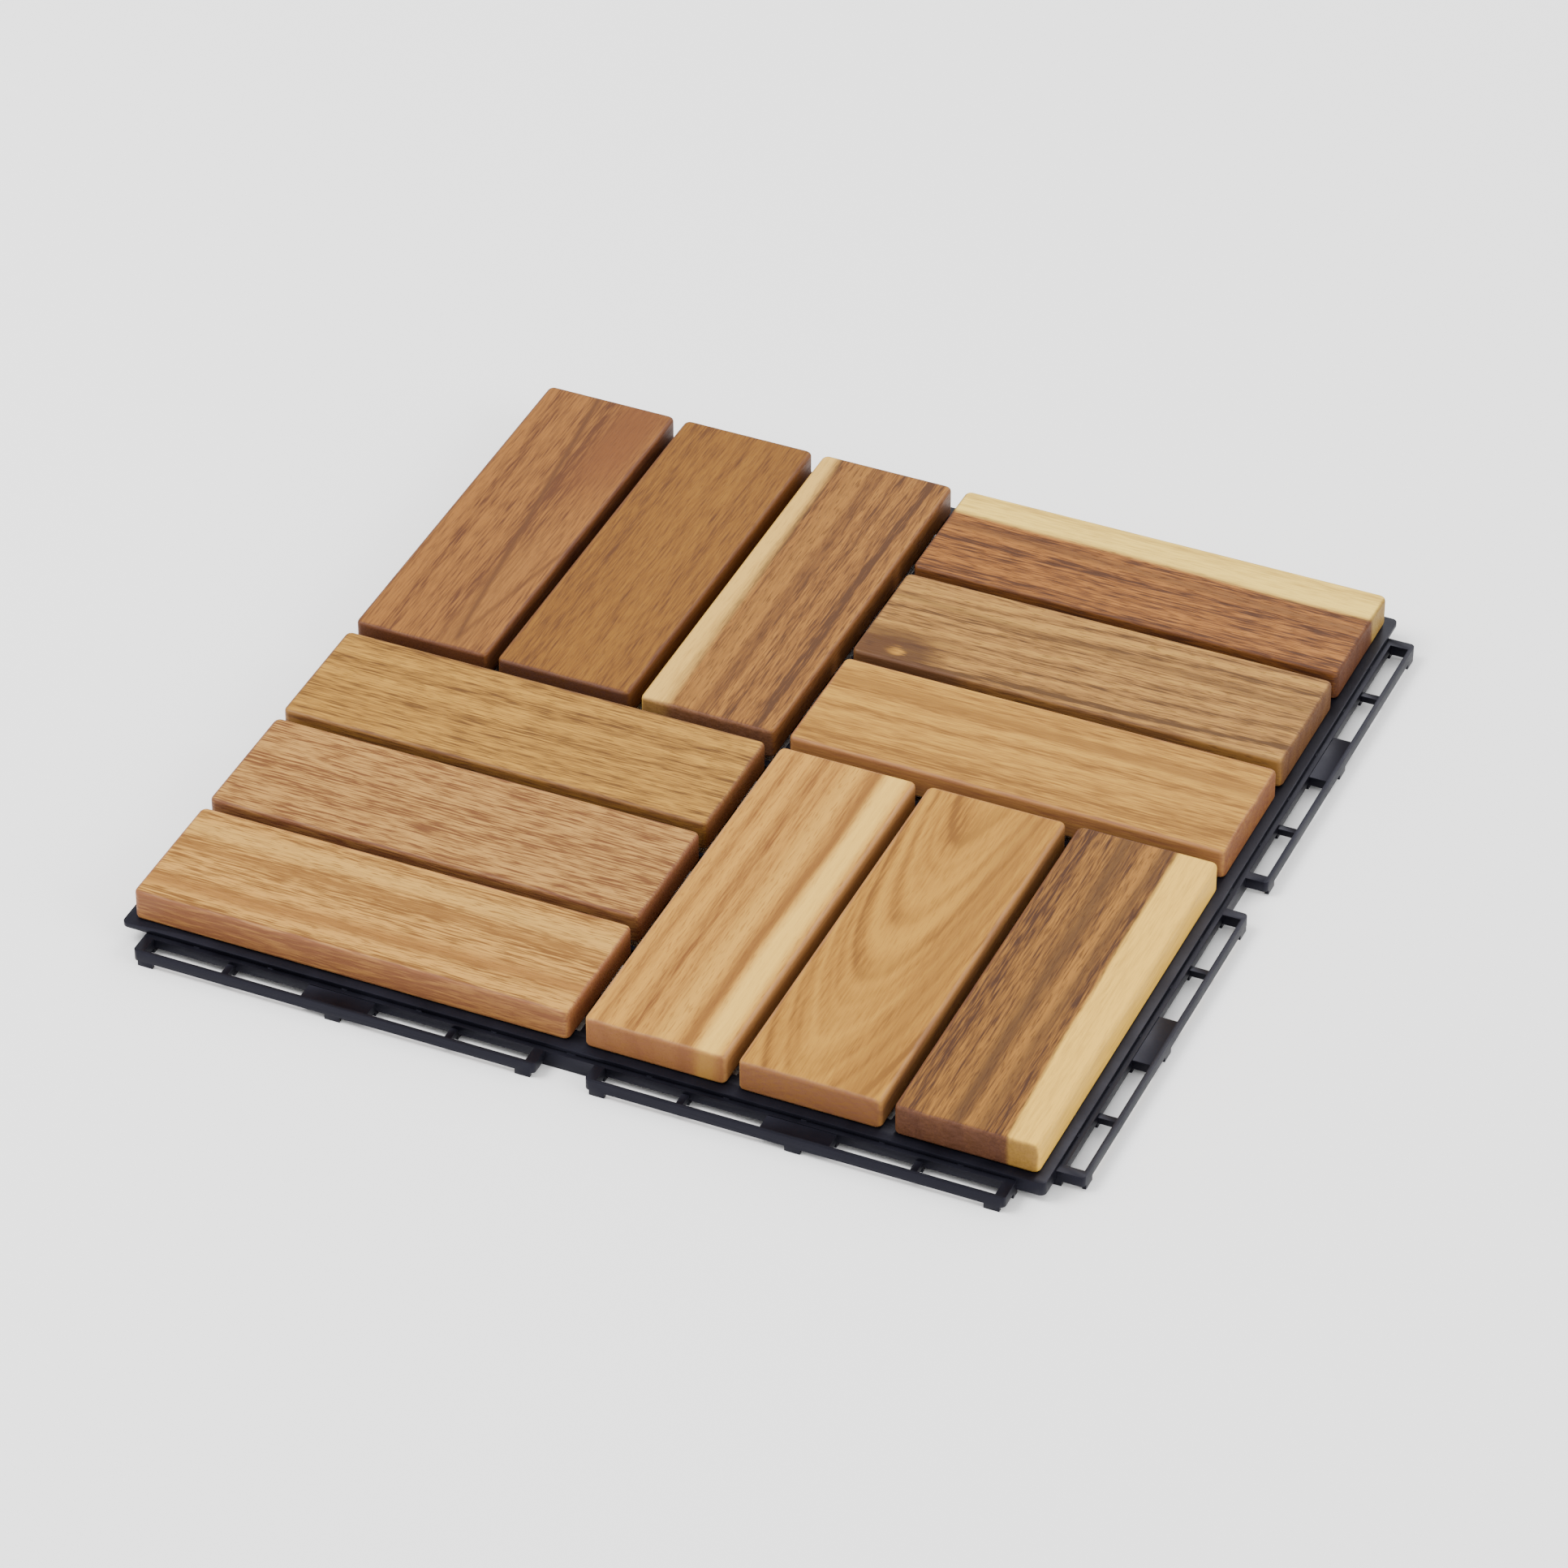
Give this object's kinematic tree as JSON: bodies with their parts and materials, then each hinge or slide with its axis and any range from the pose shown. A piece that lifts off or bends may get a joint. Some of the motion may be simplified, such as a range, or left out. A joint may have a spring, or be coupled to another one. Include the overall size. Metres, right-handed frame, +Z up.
{
  "type": "interlocking deck tile",
  "caption": "Square outdoor floor tile: wooden slats in a basket weave on a black moulded lattice base whose side loops and pegs hook tiles together.",
  "frame": {"origin": "on the ground under the middle of the wooden square, on the round foot at the base's middle", "axes": "+X to the right, towards one side with loops; +Y to the back, towards one side with pegs; +Z up, through the walking face"},
  "size_m": [0.3123, 0.3123, 0.0176],
  "materials": {
    "slat_front_left_1": "golden olive-tan wood with fine straight grain, oiled satin",
    "slat_front_left_2": "pinkish tan wood with short fine grain, oiled satin",
    "slat_front_left_3": "light tan wood with broad reddish wavy stripes, oiled satin",
    "slat_front_right_1": "tan wood with brown streaks and a cream band, oiled satin",
    "slat_front_right_2": "golden tan wood with arched grain, oiled satin",
    "slat_front_right_3": "dark brown striped wood with a cream band, oiled satin",
    "slat_back_right_1": "light golden tan wood with soft grain, oiled satin",
    "slat_back_right_2": "golden brown wood with a small pale knot, oiled satin",
    "slat_back_right_3": "brown striped wood with a cream band along the back, oiled satin",
    "slat_back_left_1": "brown wood with a cream band along its left side, oiled satin",
    "slat_back_left_2": "mid brown wood with fine grain, oiled satin",
    "slat_back_left_3": "tan and reddish brown wood with a dark curved streak, oiled satin",
    "base_plastic": "black injection-moulded polypropylene, satin",
    "screw_steel": "zinc-plated steel"
  },
  "bodies": {
    "root": {"slat_front_left_1": "slat_front_left_1", "slat_front_left_2": "slat_front_left_2", "slat_front_left_3": "slat_front_left_3", "slat_front_right_1": "slat_front_right_1", "slat_front_right_2": "slat_front_right_2", "slat_front_right_3": "slat_front_right_3", "slat_back_right_1": "slat_back_right_1", "slat_back_right_2": "slat_back_right_2", "slat_back_right_3": "slat_back_right_3", "slat_back_left_1": "slat_back_left_1", "slat_back_left_2": "slat_back_left_2", "slat_back_left_3": "slat_back_left_3", "moulded_base": "base_plastic", "slat_screws": "screw_steel"}
  },
  "joints": []
}
